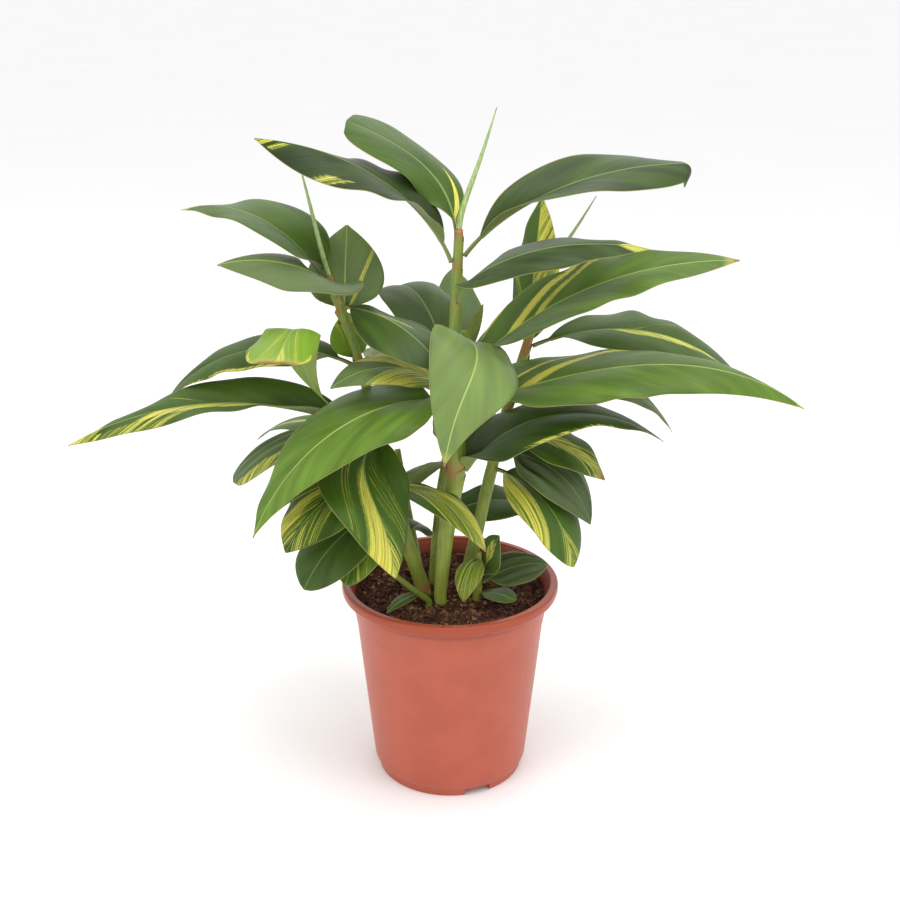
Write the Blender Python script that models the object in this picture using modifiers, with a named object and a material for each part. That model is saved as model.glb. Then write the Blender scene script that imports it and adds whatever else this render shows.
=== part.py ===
"""Potted shell ginger: six leafy shoots and a cut stalk standing in the soil of a round nursery pot.

Metres, +Z up. The origin is the middle of the pot's underside, on the surface the pot stands on.
A heading is an angle in degrees about +Z, counted from +X towards +Y.
Each shoot is an empty at the soil, which carries its stem, its leaves and its rolled young leaf.
"""

import math
from dataclasses import dataclass

import bmesh
import bpy
import numpy as np

# Pot
POT_HEIGHT = 0.200
RIM_RADIUS = 0.105
RIM_LIP = 0.008
RIM_DEPTH = 0.010
RIM_ROUNDING = 0.0015
RIM_SHELL = 0.0020
WALL = 0.0018
BODY_FOOT_RADIUS = 0.0763
BODY_FOOT_HEIGHT = 0.018
BODY_SLOPE = 0.103
SHOULDER_HEIGHT = 0.161
SHOULDER_STEP = 0.0005
CORNER_RADIUS = 0.0757
CORNER_HEIGHT = 0.012
FOOT_RADIUS = 0.0714
FOOT_TOP_RADIUS = 0.0725
FOOT_HEIGHT = 0.0075
FOOT_WIDTH = 0.0030
FLOOR = 0.0020
PAD_RADIUS = 0.022
PAD_SLOPE = 0.0015
POT_STEPS = 48

# Ways for the water out of the pot
DRAIN_HOLES = 8
DRAIN_HOLE_RADIUS = 0.004
DRAIN_CIRCLE = 0.052
DRAIN_SIDES = 12
NOTCHES = 3
NOTCH_HEADING = 292
NOTCH_WIDTH = 0.026
NOTCH_HEIGHT = 0.0062
NOTCH_REACH = 0.020

# Soil
SOIL_TOP = 0.187
GAP = 0.0003

# Leaves
LEAF_THICKNESS = 0.0008
LEAF_COLUMNS = 4
LONG_LEAF = 0.130
LONG_LEAF_ROWS = 10
SHORT_LEAF_ROWS = 6
SUBSTEPS = 16
STALK_FOLD = 50
STALK_END = 0.22
ROLL_END = 0.25
CUP_END = 0.3
CROSS_SAMPLES = 8
STALK_HALF_WIDTH = 0.003
TIP_HALF_WIDTH = 0.001
SEAT_PART = 2 / 3
SEAT_GAP = LEAF_THICKNESS / 2 + GAP
SEAT_TRIES = 6
SEAT_EASE = 0.9

# Stems, rolled leaves and the cut stalk
STEM_FOOT = SOIL_TOP + 0.0005
TUBE_RESOLUTION = 2
SPEAR_GAP = 0.0004
SPEAR_STATIONS = (0.0, 0.12, 0.4, 0.7, 1.0)
SPEAR_TAPER = 0.8
SPEAR_TAPER_CURVE = 1.6
SPEAR_BEND_CURVE = 4


@dataclass
class Leaf:
    """One leaf: where it leaves its stem, its size, and how its midrib and blade bend."""

    height: float  # where it leaves the stem, above the floor
    heading: float  # the way it points
    length: float
    width: float
    rise: float  # degrees that the midrib climbs at the stem
    fall: float  # degrees that the midrib climbs at the tip
    bend: float = 0.5  # part of the length at which half of the bending is done
    swing: float = 0.0  # degrees that the heading turns along the leaf
    swing_end: float = 1.0  # part of the length by which it has turned
    roll: float = 0.0  # degrees that the right-hand side is raised
    twist: float = 0.0  # further degrees of roll by the tip
    fold: float = 12.0  # degrees that each half stands up from the midrib
    tip_fold: float = None  # the same at the tip, where it differs
    cup: float = 35.0  # degrees that each half bends down again by its margin
    stalk: float = 0.08  # part of the length that is stalk
    blunt: float = 0.9  # small for a blunt tip
    belly: float = 0.6  # small for a blade widest near the stalk
    crease: tuple = None  # where the midrib breaks, by how many degrees, over what part


@dataclass
class Shoot:
    """One shoot: its stem as points (x, y, z, radius), its leaves and its rolled young leaf."""

    stem: list
    leaves: list
    spear: tuple = None  # tip x, y, z and the radius at the stem


SHOOTS = {
    "main": Shoot(
        stem=[
            (-0.009, -0.030, STEM_FOOT, 0.0060),
            (-0.009, -0.030, 0.200, 0.0060),
            (-0.004, -0.028, 0.255, 0.0074),
            (0.006, -0.025, 0.335, 0.0086),
            (0.004, -0.020, 0.440, 0.0056),
            (0.008, -0.015, 0.544, 0.0036),
        ],
        spear=(0.040, -0.010, 0.648, 0.0028),
        leaves=[
            Leaf(0.540, 116, 0.147, 0.074, 84, 20, bend=0.24, swing=62, swing_end=0.7, roll=4, twist=14, fold=4,
                 cup=20, belly=0.65, blunt=0.30),
            Leaf(0.520, 5, 0.240, 0.070, 56, -4, bend=0.35, roll=-19, fold=72, tip_fold=-28, cup=20,
                 belly=0.85, blunt=0.75, crease=(0.92, -110, 0.08)),
            Leaf(0.515, 188, 0.210, 0.074, 72, 5, bend=0.4, roll=13, fold=68, tip_fold=-58, cup=20,
                 belly=0.85),
            Leaf(0.480, 290, 0.195, 0.060, 80, -10, bend=0.22, swing=66, swing_end=0.4, roll=-15, fold=0,
                 tip_fold=-10, cup=15),
            Leaf(0.444, 298, 0.163, 0.090, 44, -75, bend=0.3, swing=-62, swing_end=0.7, roll=32, fold=14,
                 tip_fold=0, cup=25, stalk=0.15, belly=0.30, blunt=1.15),
            Leaf(0.412, 125, 0.135, 0.072, 62, -60, bend=0.75, belly=0.8, blunt=0.7),
            Leaf(0.413, 354, 0.270, 0.074, 50, 0, roll=-23, fold=28, tip_fold=0, cup=15),
            Leaf(0.400, 199, 0.118, 0.050, 48, -35, roll=20),
            Leaf(0.390, 211, 0.235, 0.098, 16, -66, roll=9, belly=0.42, fold=12, blunt=1.1),
            Leaf(0.384, 352, 0.315, 0.090, 21, -38, bend=0.72, roll=-15, fold=24, tip_fold=-12, belly=0.35),
            Leaf(0.322, 352, 0.205, 0.080, 60, -36, roll=-28, twist=34, fold=14, stalk=0.02, belly=0.5, blunt=1.1),
            Leaf(0.322, 124, 0.100, 0.058, 0, -70),
        ],
    ),
    "left": Shoot(
        stem=[
            (-0.026, -0.012, STEM_FOOT, 0.0070),
            (-0.026, -0.012, 0.195, 0.0070),
            (-0.045, -0.012, 0.260, 0.0062),
            (-0.062, -0.011, 0.340, 0.0052),
            (-0.085, -0.008, 0.430, 0.0042),
            (-0.108, -0.004, 0.500, 0.0030),
        ],
        spear=(-0.133, 0.000, 0.606, 0.0024),
        leaves=[
            Leaf(0.492, 175, 0.156, 0.080, 60, -18, bend=0.6, roll=25, twist=-30, fold=45, tip_fold=-10, cup=20,
                 belly=0.5),
            Leaf(0.482, 265, 0.128, 0.074, 60, -14, bend=0.4, swing=-82, swing_end=0.5, twist=28, fold=8,
                 tip_fold=-10, cup=25, belly=0.3),
            Leaf(0.472, 320, 0.130, 0.064, 10, -45, belly=0.8, roll=-10, fold=-15, cup=15),
            Leaf(0.463, 87, 0.083, 0.072, 74, 56, bend=0.6, belly=0.5),
            Leaf(0.417, 170, 0.198, 0.055, 25, -50, roll=20),
            Leaf(0.421, 138, 0.046, 0.043, 82, 72, roll=10),
            Leaf(0.366, 203, 0.196, 0.060, -13, 98, bend=0.2, swing=62, stalk=0.25, belly=1.0, blunt=0.25,
                 crease=(0.68, -104, 0.08)),
            Leaf(0.352, 182, 0.292, 0.060, 27, -30, roll=14, fold=75, tip_fold=-25, cup=20),
            Leaf(0.350, 248, 0.158, 0.090, 0, -82, swing=62, swing_end=0.7, roll=10),
            Leaf(0.346, 199, 0.146, 0.060, 30, -50, blunt=0.35),
            Leaf(0.330, 205, 0.140, 0.055, 22, -66, roll=10),
            Leaf(0.312, 214, 0.124, 0.074, 8, -60, roll=18, blunt=0.8),
            Leaf(0.303, 178, 0.118, 0.045, 14, -88),
            Leaf(0.299, 313, 0.122, 0.042, 26, -60, swing=15),
            Leaf(0.280, 215, 0.118, 0.070, 0, -62, roll=16, blunt=0.6),
            Leaf(0.270, 226, 0.084, 0.046, -5, -68, roll=12, blunt=0.6),
            Leaf(0.250, 68, 0.046, 0.036, 10, -40, roll=-20),
            Leaf(0.192, 235, 0.050, 0.016, 20, -20),
        ],
    ),
    "right": Shoot(
        stem=[
            (0.0145, -0.006, STEM_FOOT, 0.0068),
            (0.0145, -0.006, 0.195, 0.0068),
            (0.028, -0.001, 0.260, 0.0060),
            (0.048, 0.008, 0.350, 0.0050),
            (0.074, 0.018, 0.440, 0.0042),
            (0.092, 0.022, 0.500, 0.0030),
        ],
        spear=(0.131, 0.022, 0.567, 0.0022),
        leaves=[
            Leaf(0.420, 66, 0.145, 0.048, 78, 76, fold=0),
            Leaf(0.428, 12, 0.240, 0.076, 21, -50, roll=-20, stalk=0.06, belly=0.9),
            Leaf(0.375, 25, 0.205, 0.050, 25, -60, roll=-20),
            Leaf(0.350, 345, 0.106, 0.068, 5, -52, roll=-10),
            Leaf(0.330, 340, 0.116, 0.070, 4, -75, roll=-14),
            Leaf(0.312, 322, 0.126, 0.074, 0, -80, blunt=0.7),
        ],
    ),
    "back": Shoot(
        stem=[
            (-0.016, 0.014, STEM_FOOT, 0.0050),
            (-0.016, 0.014, 0.195, 0.0050),
            (-0.009, 0.036, 0.270, 0.0050),
            (0.005, 0.058, 0.360, 0.0042),
            (0.014, 0.068, 0.430, 0.0030),
        ],
        leaves=[
            Leaf(0.405, 320, 0.060, 0.022, 80, 60),
            Leaf(0.400, 95, 0.110, 0.050, 65, 20),
            Leaf(0.392, 14, 0.100, 0.050, 60, 20),
            Leaf(0.350, 120, 0.200, 0.070, 45, -40),
            Leaf(0.300, 75, 0.190, 0.068, 35, -50),
            Leaf(0.252, 12, 0.098, 0.054, 30, -30, roll=-20),
        ],
    ),
    "back_left": Shoot(
        stem=[
            (-0.031, 0.024, STEM_FOOT, 0.0055),
            (-0.031, 0.024, 0.194, 0.0055),
            (-0.042, 0.045, 0.250, 0.0045),
            (-0.052, 0.065, 0.310, 0.0030),
        ],
        leaves=[Leaf(0.290, 150, 0.190, 0.065, 45, -45)],
    ),
    "side": Shoot(
        stem=[
            (0.026, -0.022, STEM_FOOT, 0.0040),
            (0.026, -0.022, 0.192, 0.0040),
            (0.027, -0.023, 0.215, 0.0033),
            (0.028, -0.023, 0.238, 0.0025),
        ],
        leaves=[
            Leaf(0.230, 250, 0.055, 0.027, 25, -85),
            Leaf(0.215, 330, 0.048, 0.036, 80, 60, roll=-60),
            Leaf(0.205, 16, 0.068, 0.044, 34, -14, roll=-22, blunt=0.7),
            Leaf(0.195, 328, 0.038, 0.030, 28, -20, blunt=0.6),
        ],
    ),
}

CUT_STALK = [
    (-0.020, -0.034, STEM_FOOT, 0.0030),
    (-0.020, -0.034, 0.192, 0.0030),
    (-0.034, -0.039, 0.206, 0.0029),
    (-0.068, -0.046, 0.240, 0.0021),
]

COLOURS = {
    "pot_plastic": ((0.53, 0.15, 0.095), 0.45),
    "potting_soil": ((0.050, 0.017, 0.009), 0.95),
    "stem_green": ((0.26, 0.36, 0.060), 0.40),
    "leaf_green": ((0.045, 0.115, 0.022), 0.42),
    "spear_green": ((0.30, 0.42, 0.120), 0.45),
    "stalk_brown": ((0.24, 0.17, 0.070), 0.60),
}


def smooth(x):
    """Ease from 0 to 1 as x goes from 0 to 1."""
    x = np.clip(x, 0, 1)
    return x * x * (3 - 2 * x)


def new_material(slot):
    colour, roughness = COLOURS[slot]
    material = bpy.data.materials.new(slot)
    material.use_nodes = True
    shader = material.node_tree.nodes["Principled BSDF"]
    shader.inputs["Base Color"].default_value = (*colour, 1.0)
    shader.inputs["Roughness"].default_value = roughness
    shader.inputs["Metallic"].default_value = 0.0
    return material


def add_object(name, data, slot, collection, parent=None, location=(0, 0, 0), heading=0.0):
    data.materials.append(materials[slot])
    item = bpy.data.objects.new(name, data)
    item.parent = parent
    item.location = location
    item.rotation_euler = (0, 0, math.radians(heading))
    collection.objects.link(item)
    return item


def turned(name, profile, slot, collection):
    """A solid turned about +Z from (radius, height) points that run down its outer side."""
    mesh = bpy.data.meshes.new(name)
    points = [(radius, 0, height) for radius, height in profile]
    edges = [(i, i + 1) for i in range(len(points) - 1)]
    mesh.from_pydata(points, edges, [])
    item = add_object(name, mesh, slot, collection)
    screw = item.modifiers.new("turn", "SCREW")
    screw.steps = POT_STEPS
    screw.render_steps = POT_STEPS
    screw.use_merge_vertices = True
    screw.merge_threshold = 0.0001
    screw.use_smooth_shade = True
    return item


def tube(name, points, slot, collection, parent=None):
    """A round tube through (x, y, z, radius) points, with its origin at its first point."""
    curve = bpy.data.curves.new(name, "CURVE")
    curve.dimensions = "3D"
    curve.bevel_depth = 1.0
    curve.bevel_resolution = TUBE_RESOLUTION
    curve.use_fill_caps = True
    spline = curve.splines.new("POLY")
    spline.points.add(len(points) - 1)
    start = np.array(points[0][:3])
    for control, (x, y, z, radius) in zip(spline.points, points):
        control.co = (x - start[0], y - start[1], z - start[2], 1.0)
        control.radius = radius
    foot = parent.location if parent else (0, 0, 0)
    return add_object(name, curve, slot, collection, parent, tuple(start - np.array(foot)))


def body_radius(height):
    """The pot's outside radius between its lower corner and its rim."""
    step = SHOULDER_STEP if height > SHOULDER_HEIGHT else 0.0
    return BODY_FOOT_RADIUS + BODY_SLOPE * (height - BODY_FOOT_HEIGHT) + step


def pot_inside(gap):
    """Profile of the pot's inside from the middle of its floor up to the soil, less a gap."""
    floor_top = FOOT_HEIGHT + FLOOR
    return [
        (0, FLOOR + gap),
        (PAD_RADIUS - FLOOR - gap, FLOOR + gap),
        (PAD_RADIUS - FLOOR + PAD_SLOPE - gap, floor_top + gap),
        (CORNER_RADIUS - WALL - FLOOR - gap, floor_top + gap),
        (body_radius(BODY_FOOT_HEIGHT) - WALL - gap, BODY_FOOT_HEIGHT),
        (body_radius(SHOULDER_HEIGHT) - WALL - gap, SHOULDER_HEIGHT),
        (body_radius(SOIL_TOP) - WALL - gap, SOIL_TOP),
    ]


def pot_profile():
    """The whole section of the pot: up its inside, over the rim and down its outside."""
    rim_foot = POT_HEIGHT - RIM_DEPTH
    inner_lip = RIM_RADIUS - RIM_LIP
    groove_inner = body_radius(rim_foot) + RIM_ROUNDING
    groove_outer = RIM_RADIUS - RIM_SHELL
    groove_top = POT_HEIGHT - RIM_SHELL
    rim = [
        (body_radius(rim_foot) - WALL, rim_foot),
        (inner_lip, POT_HEIGHT - RIM_ROUNDING),
        (inner_lip + RIM_ROUNDING / 2, POT_HEIGHT),
        (RIM_RADIUS - RIM_ROUNDING, POT_HEIGHT),
        (RIM_RADIUS, POT_HEIGHT - RIM_ROUNDING),
        (RIM_RADIUS, rim_foot),
        (groove_outer, rim_foot),
        (groove_outer, groove_top),
        (groove_inner + RIM_ROUNDING, groove_top),
        (groove_inner, rim_foot),
    ]
    body = [
        (body_radius(SOIL_TOP), SOIL_TOP),
        (body_radius(SHOULDER_HEIGHT + SHOULDER_STEP), SHOULDER_HEIGHT + SHOULDER_STEP),
        (body_radius(SHOULDER_HEIGHT), SHOULDER_HEIGHT),
        (body_radius(BODY_FOOT_HEIGHT), BODY_FOOT_HEIGHT),
        (CORNER_RADIUS, CORNER_HEIGHT),
        (FOOT_TOP_RADIUS, FOOT_HEIGHT),
    ]
    foot = [
        (FOOT_RADIUS, 0),
        (FOOT_RADIUS - FOOT_WIDTH, 0),
        (FOOT_RADIUS - FOOT_WIDTH, FOOT_HEIGHT),
        (PAD_RADIUS + PAD_SLOPE, FOOT_HEIGHT),
        (PAD_RADIUS, 0),
        (0, 0),
    ]
    return pot_inside(0.0)[:-1] + rim + body + foot


def cutter(name, item, collection):
    """Keep the object that was just added as a hidden cutter."""
    item.name = name
    for other in item.users_collection:
        other.objects.unlink(item)
    collection.objects.link(item)
    item.display_type = "WIRE"
    item.hide_render = True


def make_pot(collection, cutters):
    pot = turned("pot", pot_profile(), "pot_plastic", collection)
    for i in range(DRAIN_HOLES):
        angle = 2 * math.pi * i / DRAIN_HOLES
        bpy.ops.mesh.primitive_cylinder_add(
            vertices=DRAIN_SIDES,
            radius=DRAIN_HOLE_RADIUS,
            depth=4 * FLOOR,
            location=(
                DRAIN_CIRCLE * math.cos(angle),
                DRAIN_CIRCLE * math.sin(angle),
                FOOT_HEIGHT + FLOOR / 2,
            ),
        )
        cutter(f"drain_hole_{i + 1}", bpy.context.object, cutters)
    for i in range(NOTCHES):
        heading = math.radians(NOTCH_HEADING + 360 * i / NOTCHES)
        bpy.ops.mesh.primitive_cube_add(
            size=1,
            location=(
                FOOT_RADIUS * math.cos(heading),
                FOOT_RADIUS * math.sin(heading),
                0,
            ),
            rotation=(0, 0, heading),
            scale=(NOTCH_REACH, NOTCH_WIDTH, 2 * NOTCH_HEIGHT),
        )
        cutter(f"foot_notch_{i + 1}", bpy.context.object, cutters)
    cut = pot.modifiers.new("drainage", "BOOLEAN")
    cut.operation = "DIFFERENCE"
    cut.solver = "EXACT"
    cut.operand_type = "COLLECTION"
    cut.collection = cutters
    return pot


def make_soil(collection):
    side = pot_inside(GAP)
    outline = [(0, SOIL_TOP)] + side[::-1]
    return turned("soil", outline, "potting_soil", collection)


def blade_half_width(leaf, t):
    """Half the blade's width at each part t of the leaf's length."""
    along = np.clip((t - leaf.stalk) / (1 - leaf.stalk), 0, 1)
    widest = leaf.belly / (leaf.belly + leaf.blunt)
    peak = widest**leaf.belly * (1 - widest) ** leaf.blunt
    half = along**leaf.belly * (1 - along) ** leaf.blunt / peak * leaf.width / 2
    least = STALK_HALF_WIDTH + (TIP_HALF_WIDTH - STALK_HALF_WIDTH) * t
    return np.maximum(half, least)


def midrib(leaf, rows):
    """Points and directions along the midrib, which starts at the origin and heads along +X."""
    part = np.linspace(0, 1, rows * SUBSTEPS + 1)
    climb = leaf.rise + (leaf.fall - leaf.rise) * part ** (math.log(0.5) / math.log(leaf.bend))
    if leaf.crease:
        place, angle, spread = leaf.crease
        climb = climb + angle * smooth((part - place) / spread + 0.5)
    climb = np.radians(climb)
    turn = np.radians(leaf.swing * smooth(part / leaf.swing_end))
    direction = np.stack(
        [np.cos(climb) * np.cos(turn), np.cos(climb) * np.sin(turn), np.sin(climb)],
        axis=-1,
    )
    steps = (direction[1:] + direction[:-1]) / 2 * leaf.length / (rows * SUBSTEPS)
    points = np.concatenate([np.zeros((1, 3)), np.cumsum(steps, axis=0)])
    return points[::SUBSTEPS], direction[::SUBSTEPS], turn[::SUBSTEPS]


def blade(leaf, rows, columns):
    """The blade's middle surface as a grid of points, rows from stalk to tip, columns left to right."""
    points, direction, turn = midrib(leaf, rows)
    t = np.linspace(0, 1, rows + 1)
    level = np.stack([np.sin(turn), -np.cos(turn), np.zeros_like(turn)], axis=-1)
    above = np.cross(level, direction)
    roll = np.radians(leaf.roll * smooth(t / ROLL_END) + leaf.twist * t)[:, None]
    across = np.cos(roll) * level + np.sin(roll) * above
    normal = np.cos(roll) * above - np.sin(roll) * level
    opened = smooth(t / STALK_END)
    tip_fold = leaf.fold if leaf.tip_fold is None else leaf.tip_fold
    fold = (leaf.fold + (tip_fold - leaf.fold) * t) * opened + STALK_FOLD * (1 - opened)
    cup = leaf.cup * smooth(t / CUP_END)
    half = blade_half_width(leaf, t)
    grid = np.zeros((rows + 1, columns + 1, 3))
    for column, v in enumerate(np.linspace(-1, 1, columns + 1)):
        middle = (np.arange(CROSS_SAMPLES) + 0.5) / CROSS_SAMPLES * abs(v)
        tilt = np.radians(fold[:, None] - cup[:, None] * middle[None, :])
        out = np.sign(v) * abs(v) * np.cos(tilt).mean(axis=1) * half
        up = abs(v) * np.sin(tilt).mean(axis=1) * half
        grid[:, column] = points + across * out[:, None] + normal * up[:, None]
    return grid


def stem_at(stem, height):
    """The stem's axis and radius at a height."""
    stem = np.array(stem)
    return [np.interp(height, stem[:, 2], stem[:, k]) for k in range(4)]


def stem_gap(points, stem):
    """The least distance from the points to the stem's surface."""
    least = 1.0
    stem = np.array(stem)
    for lower, upper in zip(stem[:-1], stem[1:]):
        span = upper[:3] - lower[:3]
        part = np.clip((points - lower[:3]) @ span / (span @ span), 0, 1)
        axis = lower[:3] + part[:, None] * span
        radius = lower[3] + part * (upper[3] - lower[3])
        least = min(least, (np.linalg.norm(points - axis, axis=1) - radius).min())
    return least


def leaf_foot(leaf, grid, stem):
    """Where the leaf's origin goes so that the leaf just clears its stem."""
    heading = math.radians(leaf.heading)
    outward = np.array([math.cos(heading), math.sin(heading), 0])
    x, y, z, radius = stem_at(stem, leaf.height)
    foot = np.array([x, y, z]) + outward * (radius + STALK_HALF_WIDTH)
    turn = np.array([[outward[0], -outward[1], 0], [outward[1], outward[0], 0], [0, 0, 1]])
    near = grid[: max(3, int(len(grid) * SEAT_PART))].reshape(-1, 3) @ turn.T
    for _ in range(SEAT_TRIES):
        foot = foot - outward * SEAT_EASE * (stem_gap(near + foot, stem) - SEAT_GAP)
    return foot


def make_leaf(name, leaf, shoot, parent, collection):
    rows = LONG_LEAF_ROWS if leaf.length >= LONG_LEAF else SHORT_LEAF_ROWS
    grid = blade(leaf, rows, LEAF_COLUMNS)
    sheet = bmesh.new()
    bmesh.ops.create_grid(sheet, x_segments=LEAF_COLUMNS, y_segments=rows, size=1.0)
    for corner in sheet.verts:
        row = round((corner.co.y + 1) / 2 * rows)
        column = round((corner.co.x + 1) / 2 * LEAF_COLUMNS)
        corner.co = grid[row, column]
    for face in sheet.faces:
        face.smooth = True
    mesh = bpy.data.meshes.new(name)
    sheet.to_mesh(mesh)
    sheet.free()
    foot = leaf_foot(leaf, grid, shoot.stem) - np.array(parent.location)
    item = add_object(name, mesh, "leaf_green", collection, parent, tuple(foot), leaf.heading)
    shell = item.modifiers.new("thickness", "SOLIDIFY")
    shell.thickness = LEAF_THICKNESS
    shell.offset = 0.0
    return item


def spear_points(shoot):
    """A rolled young leaf: it leaves the stem's end along the stem and bends over to its tip."""
    tip = np.array(shoot.spear[:3])
    last, end = np.array(shoot.stem[-2][:3]), np.array(shoot.stem[-1][:3])
    along = (end - last) / np.linalg.norm(end - last)
    start = end + along * SPEAR_GAP
    reach = np.linalg.norm(tip - start)
    points = []
    for part in SPEAR_STATIONS:
        straight = start + along * reach * part
        leaning = start + (tip - start) * part
        keep = (1 - part) ** SPEAR_BEND_CURVE
        place = straight * keep + leaning * (1 - keep)
        points.append((*place, shoot.spear[3] * (1 - SPEAR_TAPER * part**SPEAR_TAPER_CURVE)))
    return points


def make_shoot(name, shoot, collection):
    empty = bpy.data.objects.new(f"{name}_shoot", None)
    empty.location = shoot.stem[0][:3]
    collection.objects.link(empty)
    tube(f"{name}_stem", shoot.stem, "stem_green", collection, empty)
    for number, leaf in enumerate(shoot.leaves, start=1):
        make_leaf(f"{name}_leaf_{number:02d}", leaf, shoot, empty, collection)
    if shoot.spear:
        tube(f"{name}_spear", spear_points(shoot), "spear_green", collection, empty)


for old in list(bpy.data.objects):
    bpy.data.objects.remove(old, do_unlink=True)

plant_parts = bpy.data.collections.new("potted_shell_ginger")
plant_cutters = bpy.data.collections.new("pot_cutters")
bpy.context.scene.collection.children.link(plant_parts)
bpy.context.scene.collection.children.link(plant_cutters)
materials = {slot: new_material(slot) for slot in COLOURS}

make_pot(plant_parts, plant_cutters)
make_soil(plant_parts)
for shoot_name, shoot_data in SHOOTS.items():
    make_shoot(shoot_name, shoot_data, plant_parts)
tube("cut_stalk", CUT_STALK, "stalk_brown", plant_parts)
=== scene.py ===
"""Looks of the potted shell ginger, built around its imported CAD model.

Metres, +Z up, in the CAD model's frame. A heading is an angle in degrees about +Z, counted from +X
towards +Y. Each leaf is the CAD leaf's own curve at a finer step, put where the CAD leaf is.
"""

import math
import random
from dataclasses import dataclass

import bpy
import numpy as np
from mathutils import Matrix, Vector, noise
from numpy.linalg import norm


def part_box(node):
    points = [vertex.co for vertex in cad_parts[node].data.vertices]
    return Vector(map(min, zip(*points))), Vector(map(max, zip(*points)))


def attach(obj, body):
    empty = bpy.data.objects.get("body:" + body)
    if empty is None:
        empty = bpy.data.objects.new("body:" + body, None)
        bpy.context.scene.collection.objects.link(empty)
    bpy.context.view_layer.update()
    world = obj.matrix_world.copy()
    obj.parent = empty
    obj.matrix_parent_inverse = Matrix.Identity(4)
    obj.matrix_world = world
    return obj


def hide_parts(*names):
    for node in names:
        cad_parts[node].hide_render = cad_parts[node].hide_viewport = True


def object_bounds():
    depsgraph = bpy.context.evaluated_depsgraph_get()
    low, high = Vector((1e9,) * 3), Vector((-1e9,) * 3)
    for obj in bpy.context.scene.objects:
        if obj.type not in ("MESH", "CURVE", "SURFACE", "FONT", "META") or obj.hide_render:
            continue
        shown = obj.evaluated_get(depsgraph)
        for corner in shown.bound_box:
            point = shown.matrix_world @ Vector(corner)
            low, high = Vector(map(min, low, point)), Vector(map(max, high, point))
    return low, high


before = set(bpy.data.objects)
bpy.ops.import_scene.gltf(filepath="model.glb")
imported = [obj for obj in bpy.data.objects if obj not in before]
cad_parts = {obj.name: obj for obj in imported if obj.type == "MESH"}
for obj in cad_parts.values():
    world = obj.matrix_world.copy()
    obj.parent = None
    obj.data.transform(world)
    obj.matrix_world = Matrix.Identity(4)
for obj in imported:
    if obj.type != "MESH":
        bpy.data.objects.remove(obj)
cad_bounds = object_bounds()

# Leaves, with the CAD leaves' own numbers first
CAD_COLUMNS = 4
CAD_LONG_LEAF = 0.130
CAD_LONG_ROWS = 10
CAD_SHORT_ROWS = 6
STALK_FOLD = 50
STALK_END = 0.22
ROLL_END = 0.25
CUP_END = 0.3
CROSS_SAMPLES = 8
STALK_HALF_WIDTH = 0.003
TIP_HALF_WIDTH = 0.001
SUBSTEPS = 4
ROW_STEP = 0.0024
LEAST_ROWS = 24
HALF_COLUMNS = 16
COLUMN_CROWDING = 1.35
SHEET_HALF = 0.00022
STALK_EXTRA = 0.0004
RIB_WIDTH = 0.0018
RIB_TAPER = 0.72
RIB_RIDGE = 0.75
RIB_GROOVE = 0.35
VEIN_CURVE = 10.0
STREAK_EDGE = 0.06
WAVE_LENGTH = 0.060
WAVE_FADE = 0.2
WIDE_LEAF = 0.06
DEEP_PLEAT = 0.0030

# Stems and rolled leaves
STEM_FOOT = 0.1875
STEM_SIDES = 28
STEM_STEP = 0.003
STALK_STEP = 0.0015
SHEATH_RINGS = 12
SHEATH_LENGTH = 0.032
SHEATH_RISE = 0.0045
SHEATH_DROP = 0.0060
SHEATH_OFFSET = 0.0006
PINK_REACH = 0.007
SPEAR_RINGS = 48
SPEAR_TAPER = 0.86
SPEAR_TAPER_CURVE = 1.6
SPEAR_BEND_CURVE = 4
SPEAR_WINDING = 0.35
SPEAR_EDGE = 0.1

# Pot and soil, in the CAD model's own sizes
POT_TOP = float(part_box("pot")[1].z)
RIM_RADIUS = float(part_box("pot")[1].x)
SOIL_TOP = float(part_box("soil")[1].z)
POT_STEPS = 176
ARC_POINTS = 5
SHARP_ANGLE = 38
RIM_LIP = 0.008
RIM_DEPTH = 0.010
RIM_ROUNDING = 0.0015
RIM_SHELL = 0.0020
WALL = 0.0018
BODY_FOOT_RADIUS = 0.0763
BODY_FOOT_HEIGHT = 0.018
BODY_SLOPE = 0.103
SHOULDER_HEIGHT = 0.161
SHOULDER_STEP = 0.0005
CORNER_RADIUS = 0.0757
CORNER_HEIGHT = 0.012
FOOT_RADIUS = 0.0714
FOOT_TOP_RADIUS = 0.0725
FOOT_HEIGHT = 0.0075
FOOT_WIDTH = 0.0030
FLOOR = 0.0020
PAD_RADIUS = 0.022
PAD_SLOPE = 0.0015
DRAIN_HOLES = 8
DRAIN_HOLE_RADIUS = 0.004
DRAIN_CIRCLE = 0.052
NOTCHES = 3
NOTCH_HEADING = 292
NOTCH_WIDTH = 0.026
NOTCH_HEIGHT = 0.0062
NOTCH_REACH = 0.020
GAP = 0.0003
SOIL_RINGS = 74
SOIL_STEPS = 240
SOIL_EDGE_RINGS = 4
SOIL_EDGE_DROP = 0.0012
SOIL_ROUGHNESS = [(34, 1.7, 0.0028), (120, 4.1, 0.0024), (330, 8.3, 0.0014), (800, 2.9, 0.0007)]

# Crumbs and fibres on the soil
CRUMBS = 1900
CRUMB_PATCHES = 9
CRUMB_PATCH_RADIUS = 0.013
FIBRES = 800
FIBRE_TUFTS = 16
FIBRE_TUFT_SPREAD = 0.006
FIBRE_POINTS = 6
FIBRE_SIDES = 4

# Lights and camera
LIGHT_TARGET = Vector((0, 0, 0.35))
CAMERA_PLACE = (0.0, -1.2, 0.776)
CAMERA_PITCH = 69.73
CAMERA_LENS = 54.48


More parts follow.
